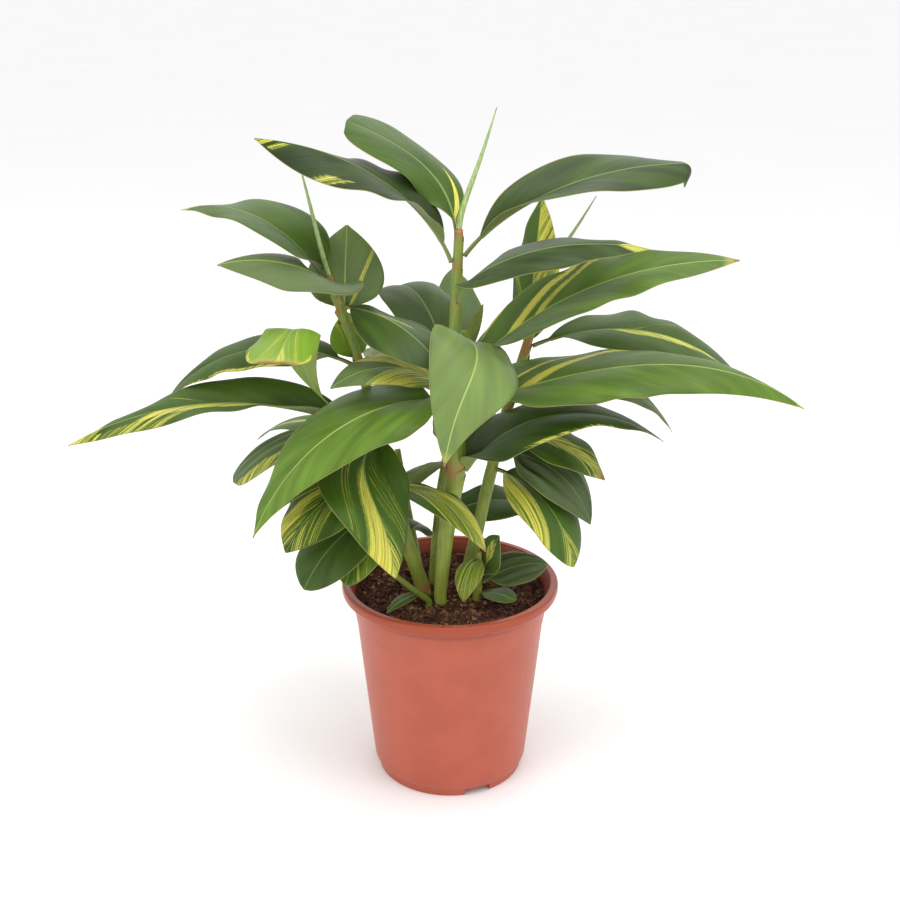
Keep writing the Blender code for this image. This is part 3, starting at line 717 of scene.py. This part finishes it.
def lathe(outline, steps, inward=False):
    """Points and faces of an outline of (radius, height) turned about +Z."""
    points, rings = [], []
    for radius, height in outline:
        if radius < 1e-6:
            rings.append([len(points)] * steps)
            points.append((0.0, 0.0, height))
        else:
            rings.append(list(range(len(points), len(points) + steps)))
            points += circle(radius, height, steps)
    return points, ring_faces(rings, inward)


def body_radius(height):
    step = SHOULDER_STEP if height > SHOULDER_HEIGHT else 0.0
    return BODY_FOOT_RADIUS + BODY_SLOPE * (height - BODY_FOOT_HEIGHT) + step


def pot_outline():
    """The pot's section, from the middle of its floor inside, over the rim and down to its foot."""
    rim_foot = POT_TOP - RIM_DEPTH
    inner_lip = RIM_RADIUS - RIM_LIP
    rim_inside = RIM_RADIUS - RIM_SHELL
    groove = body_radius(rim_foot) + RIM_ROUNDING
    floor_top = FOOT_HEIGHT + FLOOR
    step_top = SHOULDER_HEIGHT + SHOULDER_STEP
    return [
        (0, FLOOR, 0),
        (PAD_RADIUS - FLOOR, FLOOR, 0.0008),
        (PAD_RADIUS - FLOOR + PAD_SLOPE, floor_top, 0.0008),
        (CORNER_RADIUS - WALL - FLOOR, floor_top, 0.0015),
        (BODY_FOOT_RADIUS - WALL, BODY_FOOT_HEIGHT, 0.002),
        (body_radius(SHOULDER_HEIGHT) - WALL, SHOULDER_HEIGHT, 0),
        (body_radius(rim_foot) - WALL, rim_foot, 0.0015),
        (inner_lip, POT_TOP - RIM_ROUNDING, 0.0012),
        (inner_lip + RIM_ROUNDING / 2, POT_TOP, 0.001),
        (RIM_RADIUS, POT_TOP, 0.0040),
        (RIM_RADIUS, rim_foot + 0.0022, 0.0018),
        (RIM_RADIUS - 0.0012, rim_foot, 0.0004),
        (rim_inside, rim_foot, 0.0006),
        (rim_inside, POT_TOP - RIM_SHELL, 0.0008),
        (groove + RIM_ROUNDING, POT_TOP - RIM_SHELL, 0.0008),
        (groove, rim_foot, 0.0012),
        (body_radius(step_top), step_top, 0.0002),
        (body_radius(SHOULDER_HEIGHT), SHOULDER_HEIGHT, 0.0002),
        (BODY_FOOT_RADIUS, BODY_FOOT_HEIGHT, 0.003),
        (CORNER_RADIUS, CORNER_HEIGHT, 0.002),
        (FOOT_TOP_RADIUS, FOOT_HEIGHT, 0.0008),
        (FOOT_RADIUS, 0, 0.0006),
        (FOOT_RADIUS - FOOT_WIDTH, 0, 0.0006),
        (FOOT_RADIUS - FOOT_WIDTH, FOOT_HEIGHT, 0.0006),
        (PAD_RADIUS + PAD_SLOPE, FOOT_HEIGHT, 0.0006),
        (PAD_RADIUS, 0, 0.0006),
        (0, 0, 0),
    ]


def cut_out(piece, cutter):
    """Cut one piece by another and throw the cutter away."""
    cut = piece.modifiers.new("cut", "BOOLEAN")
    cut.operation = "DIFFERENCE"
    cut.solver = "EXACT"
    cut.object = cutter
    bpy.context.view_layer.objects.active = piece
    bpy.ops.object.modifier_apply(modifier=cut.name)
    bpy.data.objects.remove(cutter, do_unlink=True)


def make_pot():
    """The pot, with drain holes in its floor and notches in its foot."""
    points, faces = lathe(rounded(pot_outline())[::-1], POT_STEPS)
    pot = add_piece("look_pot", points, faces, "pot", "pot_plastic", "pot")
    for place in circle(DRAIN_CIRCLE, FOOT_HEIGHT + FLOOR / 2, DRAIN_HOLES):
        bpy.ops.mesh.primitive_cylinder_add(
            vertices=24, radius=DRAIN_HOLE_RADIUS, depth=4 * FLOOR, location=place
        )
        cut_out(pot, bpy.context.object)
    for k in range(NOTCHES):
        heading = math.radians(NOTCH_HEADING + 360 * k / NOTCHES)
        bpy.ops.mesh.primitive_cube_add(
            size=1,
            location=(FOOT_RADIUS * math.cos(heading), FOOT_RADIUS * math.sin(heading), 0),
            rotation=(0, 0, heading),
            scale=(NOTCH_REACH, NOTCH_WIDTH, 2 * NOTCH_HEIGHT),
        )
        cut_out(pot, bpy.context.object)
    pot.data.shade_smooth()
    pot.data.set_sharp_from_angle(angle=math.radians(SHARP_ANGLE))


def soil_height(x, y):
    """How far the soil's surface stands above or below its mean level."""
    return sum(noise.noise(Vector((x * fine, y * fine, z))) * size for fine, z, size in SOIL_ROUGHNESS)


def make_soil():
    """The soil: a crumbly top, and the sides and underside that the pot's holes show."""
    edge = body_radius(SOIL_TOP) - WALL - GAP
    outline = [(edge * ring / SOIL_RINGS, SOIL_TOP) for ring in range(SOIL_RINGS + 1)]
    outline += [
        (body_radius(SHOULDER_HEIGHT) - WALL - GAP, SHOULDER_HEIGHT),
        (BODY_FOOT_RADIUS - WALL - GAP, BODY_FOOT_HEIGHT),
        (CORNER_RADIUS - WALL - FLOOR - GAP, FOOT_HEIGHT + FLOOR + GAP),
        (PAD_RADIUS - FLOOR + PAD_SLOPE - GAP, FOOT_HEIGHT + FLOOR + GAP),
        (PAD_RADIUS - FLOOR - GAP, FLOOR + GAP),
    ]
    points, faces = lathe(outline, SOIL_STEPS, inward=True)
    faces.append(list(range(len(points) - SOIL_STEPS, len(points)))[::-1])
    for k, (x, y, z) in enumerate(points):
        if z == SOIL_TOP:
            fade = min(1.0, (1 - math.hypot(x, y) / edge) * SOIL_RINGS / SOIL_EDGE_RINGS)
            points[k] = (x, y, z + soil_height(x, y) * fade - SOIL_EDGE_DROP * (1 - fade))
    add_piece("look_soil", points, faces, "soil", "potting_soil", "soil", clod=np.zeros((len(points), 3)))


def place_on_soil(draw, margin):
    radius = (body_radius(SOIL_TOP) - WALL - margin) * math.sqrt(draw.random())
    angle = draw.uniform(0, 2 * math.pi)
    x, y = radius * math.cos(angle), radius * math.sin(angle)
    return x, y, SOIL_TOP + soil_height(x, y)


def make_crumbs():
    """Loose clods of peat on the soil, paler in a few patches."""
    draw = random.Random(11)
    patches = [place_on_soil(draw, 0.02)[:2] for _ in range(CRUMB_PATCHES)]
    bpy.ops.mesh.primitive_ico_sphere_add(subdivisions=1, radius=1.0)
    ball = bpy.context.object
    shape = [vertex.co.copy() for vertex in ball.data.vertices]
    faces = [tuple(face.vertices) for face in ball.data.polygons]
    bpy.data.objects.remove(ball, do_unlink=True)
    parts = []
    for number in range(CRUMBS):
        x, y, z = place_on_soil(draw, 0.004)
        size = 0.0007 + 0.0021 * draw.random() ** 2.4
        nearest = min(math.hypot(x - a, y - b) for a, b in patches)
        tint = draw.random() ** (0.8 if nearest < CRUMB_PATCH_RADIUS else 5.0)
        stretch = size * np.array([draw.uniform(0.7, 1.3) for _ in range(3)]) * (1, 1, 0.8)
        points = []
        for place in shape:
            rough = 1 + 0.45 * noise.noise(place * 1.6 + Vector((number * 3.1, 0, 0)))
            points.append((x, y, z) + (np.array(place) + (0, 0, 0.1)) * stretch * rough)
        parts.append((np.array(points), faces, np.full((len(points), 3), tint)))
    points, faces, tints = join(parts)
    add_piece("soil_crumbs", points, faces, "soil", "potting_soil", clod=tints)


def make_fibres():
    """Coir fibres that lie about on the soil, mostly in a few tufts."""
    draw = random.Random(23)
    tufts = [place_on_soil(draw, 0.02)[:2] for _ in range(FIBRE_TUFTS)]
    parts = []
    for _ in range(FIBRES):
        x, y, _ = place_on_soil(draw, 0.012)
        if draw.random() < 0.62:
            tuft = draw.choice(tufts)
            x, y = tuft[0] + draw.gauss(0, FIBRE_TUFT_SPREAD), tuft[1] + draw.gauss(0, FIBRE_TUFT_SPREAD)
        step = draw.uniform(0.003, 0.010) / (FIBRE_POINTS - 1)
        thick = draw.uniform(0.00012, 0.00034)
        heading, curl = draw.uniform(0, 2 * math.pi), draw.uniform(-1.1, 1.1)
        lift, line = draw.uniform(0.0, 0.0022), []
        for part in np.linspace(0, 1, FIBRE_POINTS):
            height = SOIL_TOP + soil_height(x, y) + 0.0004 + lift * math.sin(math.pi * part)
            line.append((x, y, height, thick * (1 - 0.5 * part)))
            x += step * math.cos(heading + curl * part)
            y += step * math.sin(heading + curl * part)
        points, faces = sweep(np.array(line), sides=FIBRE_SIDES, across=(0, 0, 1))
        shade = (line[0][0] * 917) % 1.0
        parts.append((points, faces, np.tile((shade, 0, 0), (len(points), 1))))
    points, faces, shades = join(parts)
    add_piece("coir_fibres", points, faces, "fibre", "potting_soil", thread=shades)


# Materials


def srgb(red, green, blue):
    """A colour given as 0 to 255 screen values, as a shader wants it."""
    channels = [value / 255 for value in (red, green, blue)]
    linear = [c / 12.92 if c <= 0.04045 else ((c + 0.055) / 1.055) ** 2.4 for c in channels]
    return (*linear, 1.0)


class Value:
    """A number that varies over a surface, for sums and products in a material."""

    def __init__(self, shader, socket):
        self.shader = shader
        self.socket = socket

    def __add__(self, other):
        return self.shader.math("ADD", self, other)

    def __sub__(self, other):
        return self.shader.math("SUBTRACT", self, other)

    def __rsub__(self, other):
        return self.shader.math("SUBTRACT", other, self)

    def __mul__(self, other):
        return self.shader.math("MULTIPLY", self, other)


class Shader:
    """A material's node tree, with short ways to add to it."""

    def __init__(self, name, roughness=0.5, specular=0.5):
        self.material = bpy.data.materials.new(name)
        self.material.use_nodes = True
        self.tree = self.material.node_tree
        self.surface = self.tree.nodes["Principled BSDF"]
        self.surface.inputs["Roughness"].default_value = roughness
        self.surface.inputs["Specular IOR Level"].default_value = specular

    def add(self, kind, inputs=None, **settings):
        node = self.tree.nodes.new("ShaderNode" + kind)
        for key, value in settings.items():
            setattr(node, key, value)
        for key, value in (inputs or {}).items():
            self.put(node.inputs[key], value)
        return node

    def put(self, socket, value):
        if isinstance(value, Value):
            value = value.socket
        if isinstance(value, bpy.types.NodeSocket):
            self.tree.links.new(value, socket)
        else:
            socket.default_value = value

    def parts(self, vector):
        node = self.add("SeparateXYZ", {"Vector": vector})
        return [Value(self, output) for output in node.outputs]

    def vector(self, name):
        """The three parts of a vector that the mesh holds."""
        return self.parts(self.add("Attribute", attribute_name=name).outputs["Vector"])

    def math(self, operation, first, second=0.0):
        return Value(self, self.add("Math", {0: first, 1: second}, operation=operation).outputs[0])

    def place(self, x, y, z):
        return self.add("CombineXYZ", {0: x, 1: y, 2: z}).outputs[0]

    def object_place(self):
        return self.add("TexCoord").outputs["Object"]

    def noise(self, place, scale=1.0, detail=2.0, roughness=0.5, stretch=None):
        if stretch:
            place = self.add("Mapping", {"Vector": place, "Scale": stretch}).outputs[0]
        inputs = {"Vector": place, "Scale": scale, "Detail": detail, "Roughness": roughness}
        return Value(self, self.add("TexNoise", inputs).outputs["Fac"])

    def ramp(self, value, low, high, start=0.0, end=1.0):
        """Ease from start to end as the value goes from low to high."""
        inputs = {0: value, 1: low, 2: high, 3: start, 4: end}
        return Value(self, self.add("MapRange", inputs, interpolation_type="SMOOTHSTEP").outputs[0])

    def mix(self, amount, first, second):
        """Mix two colours, each a socket or 0 to 255 screen values."""
        first, second = (srgb(*c) if isinstance(c, tuple) else c for c in (first, second))
        return self.add("Mix", {0: amount, 6: first, 7: second}, data_type="RGBA").outputs[2]

    def shift(self, value, low, high, first, second, most=1.0):
        """Go from one colour towards another, by most of the way, as the value goes from low to high."""
        return self.mix(self.ramp(value, low, high, 0.0, most), first, second)

    def bump(self, height, distance, strength, normal=None):
        node = self.add("Bump", {"Height": height, "Distance": distance, "Strength": strength})
        if normal:
            self.put(node.inputs["Normal"], normal)
        return node.outputs[0]

    def finish(self, colour, roughness=None, normal=None):
        self.put(self.surface.inputs["Base Color"], colour)
        if roughness:
            self.put(self.surface.inputs["Roughness"], roughness)
        if normal:
            self.put(self.surface.inputs["Normal"], normal)
        return self.material


def leaf_material():
    """Green blade with fine side veins, a pale midrib, and yellow streaks that follow the veins."""
    s = Shader("variegated_leaf", specular=0.22)
    vein, out, seed = s.vector("vein")
    mask, tone, painted_sheen = s.vector("paint")
    margin, rib, under = s.vector("edge")
    from_tip, dry, pleat = s.vector("tip")
    swayed = vein + s.noise(s.place(vein * 60, out * 60, seed), detail=1.0) * 0.004
    fine = s.noise(s.place(swayed * 1100, out * 9, seed))
    bands = s.noise(s.place(swayed * 190, out * 7, seed))
    blotch = s.noise(s.place(vein * 30, out * 40, seed), detail=1.0)
    thin = s.noise(s.place(swayed * 820, out * 60, seed + 7.0), detail=4.0, roughness=0.65)
    wide = s.noise(s.place(swayed * 150, out * 12, seed + 3.0))

    shade = bands * 0.20 + blotch * 0.66 + (fine - 0.5) * 0.26
    # The tone is partly painted light: leaves in shade are set darker, leaves with sheen lighter.
    lightness = tone * 0.5 + (shade - 0.43)
    dark = s.shift(lightness, -0.65, 0.05, (27, 43, 6), (67, 96, 20))
    green = s.shift(lightness, 0.0, 0.85, dark, (124, 160, 48))
    # Painted sheen: the green is mixed towards a pale bluish grey where a leaf's sheen of light should be.
    green = s.mix(painted_sheen * 0.5, green, (112, 122, 92))
    # Painted highlight on the crests of the folds along the blade, and painted shade in their troughs.
    green = s.shift(pleat, 0.1, 0.9, green, (122, 132, 112), 0.45)
    green = s.shift(pleat, -0.1, -0.9, green, (26, 34, 20), 0.65)

    cover = thin + wide * 0.55 - 0.275 + mask
    pale = s.shift(fine, 0.35, 0.7, (198, 190, 64), (224, 214, 106))
    green = s.shift(cover, 0.90, 0.97, green, (128, 158, 60), 0.55)
    colour = s.shift(cover, 0.965, 1.02, green, pale)

    rib_colour = s.shift(tone, -0.6, 0.8, (128, 152, 84), (170, 192, 104))
    colour = s.shift(rib, 1.15, 0.55, colour, rib_colour, 0.85)
    colour = s.shift(margin, 0.0009, 0.0003, colour, (150, 142, 78), 0.75)
    colour = s.mix(under, colour, s.mix(0.68, colour, (142, 156, 94)))
    ragged = from_tip + (fine - 0.5) * 0.008
    has_dry = s.ramp(dry, 0.0001, 0.001)
    fading = s.ramp(ragged - dry * 2.4, 0.004, -0.004, 0.0, 0.6)
    colour = s.mix(fading * has_dry, colour, (176, 168, 84))
    brown = s.mix(bands, (112, 80, 44), (168, 134, 88))
    colour = s.mix(s.ramp(ragged - dry, 0.0015, -0.0015) * has_dry, colour, brown)

    rough = fine * 0.14 + 0.33 + under * 0.12
    return s.finish(colour, rough, s.bump(fine * 0.45 + bands * 0.9, 0.0007, 0.55))


def stem_material():
    """Yellow-green sheaths with fine lengthwise lines and pink tints at their tops."""
    s = Shader("sheathed_stem", specular=0.35)
    _, pink, _ = s.vector("sheath")
    place = s.object_place()
    lines = s.noise(place, stretch=(900, 900, 14))
    patches = s.noise(place, scale=55)
    _, _, height = s.parts(place)
    base = s.shift(height, 0.19, 0.42, (134, 148, 48), (124, 146, 62))
    base = s.shift(patches, 0.35, 0.7, base, (98, 122, 46), 0.5)
    base = s.shift(lines, 0.35, 0.65, base, (164, 172, 92), 0.35)
    blush = pink * s.ramp(patches, 0.3, 0.6)
    colour = s.mix(blush * 0.75, base, (184, 100, 74))
    return s.finish(colour, lines * 0.2 + 0.32, s.bump(lines, 0.0004, 0.5))


def spear_material():
    """Pale rolled leaf: lines along it and a darker line where the roll's edge lies."""
    s = Shader("rolled_leaf", specular=0.4)
    _, wound, part = s.vector("sheath")
    lines = s.noise(s.object_place(), stretch=(1400, 1400, 25))
    base = s.shift(lines, 0.3, 0.7, (132, 162, 92), (190, 204, 140))
    base = s.shift(wound, 0.9, 1.0, base, (92, 122, 58), 0.7)
    colour = s.shift(part, 0.93, 1.0, base, (150, 120, 80))
    return s.finish(colour, lines * 0.2 + 0.38, s.bump(lines, 0.0004, 0.5))


def pot_material():
    """Satin terracotta-coloured plastic: faint mould rings, dust and scuffs, a deeper orange rim, and
    painted shade on the inner wall above the soil.
    """
    s = Shader("terracotta_plastic", specular=0.36)
    place = s.object_place()
    x, y, height = s.parts(place)
    radius = s.math("SQRT", x * x + y * y)
    cloud = s.noise(place, scale=26, detail=4.0)
    speck = s.noise(place, scale=1100)
    rings = s.noise(place, detail=3.0, stretch=(3, 3, 420))
    scuff = s.noise(place, detail=4.0, roughness=0.7, stretch=(160, 160, 24))
    base = s.shift(cloud, 0.3, 0.7, (170, 82, 61), (178, 88, 66))
    base = s.shift(rings, 0.45, 0.75, base, (170, 84, 64), 0.12)
    base = s.shift(scuff, 0.6, 0.8, base, (196, 126, 106), 0.12)
    base = s.shift(speck, 0.6, 0.75, base, (150, 74, 54), 0.2)
    rim_low = POT_TOP - RIM_DEPTH - 0.0005
    on_rim = s.ramp(height, rim_low, rim_low + 0.0004) * s.ramp(radius, 0.0965, 0.0972)
    base = s.mix(on_rim * 0.96, base, (156, 68, 42))
    # Painted shade: the inner wall between the rim and the soil is darkened, standing in for the shade
    # inside the pot.
    inside = s.ramp(height, 0.18, 0.186) * s.ramp(radius, 0.0965, 0.0945)
    colour = s.mix(inside * 0.6, base, (128, 54, 38))
    off_rim = 1.0 - on_rim
    rough = cloud * 0.16 + scuff * off_rim * 0.16 + 0.22
    fine = s.bump(speck, 0.0002, off_rim * 0.25)
    return s.finish(colour, rough, s.bump(rings, 0.0006, off_rim * 0.12, fine))


def soil_material():
    """Dark moist peat with tan patches and paler crumbs."""
    s = Shader("peat", roughness=0.95, specular=0.25)
    clod, _, _ = s.vector("clod")
    place = s.object_place()
    clumps = s.noise(place, scale=210, detail=5.0, roughness=0.7)
    grains = s.noise(place, scale=900, detail=3.0, roughness=0.7)
    warm = s.noise(place, scale=62, detail=4.0, roughness=0.7)
    base = s.shift(clumps, 0.34, 0.68, (34, 17, 13), (104, 62, 47))
    base = s.shift(warm, 0.54, 0.68, base, (156, 108, 78), 0.6)
    base = s.shift(clod, 0.05, 1.0, base, (182, 134, 100))
    colour = s.shift(grains, 0.56, 0.68, base, (160, 110, 82), 0.8)
    colour = s.shift(grains, 0.46, 0.34, colour, (24, 12, 8))
    return s.finish(colour, None, s.bump(clumps * 1.2 + grains, 0.0016, 0.9))


def fibre_material():
    """Coir from dark to pale brown, fibre by fibre."""
    s = Shader("coir", roughness=0.8, specular=0.3)
    shade, _, _ = s.vector("thread")
    grain = s.noise(s.object_place(), scale=900)
    base = s.mix(shade, (96, 60, 38), (190, 150, 104))
    colour = s.shift(grain, 0.4, 0.65, base, (84, 48, 30), 0.4)
    return s.finish(colour, None, s.bump(grain, 0.0003, 0.5))


def stalk_material():
    """Old stalk: green at the foot, olive and fibrous further up, brown at the cut."""
    s = Shader("dry_stalk", specular=0.3)
    _, part, _ = s.vector("sheath")
    lines = s.noise(s.object_place(), detail=3.0, stretch=(260, 700, 700))
    base = s.shift(part, 0.3, 0.95, (108, 128, 40), (140, 134, 66))
    base = s.shift(lines, 0.4, 0.65, base, (96, 88, 40), 0.35)
    colour = s.shift(part, 0.9, 0.98, base, (150, 108, 84))
    return s.finish(colour, lines * 0.2 + 0.5, s.bump(lines, 0.0006, 0.8))


# Stage


def make_floor():
    bpy.ops.mesh.primitive_plane_add(size=60, location=(0, 0, float(cad_bounds[0][2])))
    floor = bpy.context.object
    floor.name = "floor"
    s = Shader("white_floor", roughness=0.9, specular=0.1)
    shade = s.noise(s.object_place(), scale=2.0, detail=1.0)
    greys = {0: shade, 6: (0.93, 0.93, 0.93, 1.0), 7: (0.96, 0.96, 0.96, 1.0)}
    floor.data.materials.append(s.finish(s.add("Mix", greys, data_type="RGBA").outputs[2]))


def make_light(name, place, size, power):
    """A soft light that points at the middle of the plant."""
    data = bpy.data.lights.new(name, "AREA")
    data.shape = "RECTANGLE"
    data.size, data.size_y = size
    data.energy = power
    light = bpy.data.objects.new(name, data)
    light.location = place
    light.rotation_euler = (LIGHT_TARGET - Vector(place)).to_track_quat("-Z", "Y").to_euler()
    bpy.context.scene.collection.objects.link(light)


def make_studio():
    scene = bpy.context.scene
    world = bpy.data.worlds.new("studio")
    world.use_nodes = True
    background = world.node_tree.nodes["Background"]
    background.inputs["Color"].default_value = (1.0, 1.0, 1.0, 1.0)
    scene.world = world
    scene.view_settings.view_transform = "Standard"
    make_light("top", (0.15, -0.35, 2.3), (1.2, 1.2), 20)
    make_light("front_left", (-1.7, -1.5, 1.5), (1.0, 1.6), 9)
    make_light("front_right", (1.8, -1.2, 1.3), (1.0, 1.6), 7)
    make_light("behind", (0.2, 1.9, 1.7), (2.0, 1.0), 6)
    camera = bpy.data.objects.new("camera", bpy.data.cameras.new("camera"))
    camera.data.lens = CAMERA_LENS
    camera.location = CAMERA_PLACE
    camera.rotation_euler = (math.radians(CAMERA_PITCH), 0, 0)
    scene.collection.objects.link(camera)
    scene.camera = camera


materials = {
    "leaf": leaf_material(),
    "stem": stem_material(),
    "spear": spear_material(),
    "pot": pot_material(),
    "soil": soil_material(),
    "fibre": fibre_material(),
    "stalk": stalk_material(),
}

make_pot()
make_soil()
make_crumbs()
make_fibres()
make_cut_stalk()
leaf_count = 0
for shoot in STEMS:
    make_stem(shoot)
    if shoot in SPEARS:
        make_spear(shoot)
    for number, (leaf_shape, leaf_look) in enumerate(zip(LEAVES[shoot], LOOKS[shoot]), start=1):
        leaf_count += 1
        make_leaf(f"{shoot}_leaf_{number:02d}", leaf_shape, leaf_look, leaf_count)

make_floor()
make_studio()
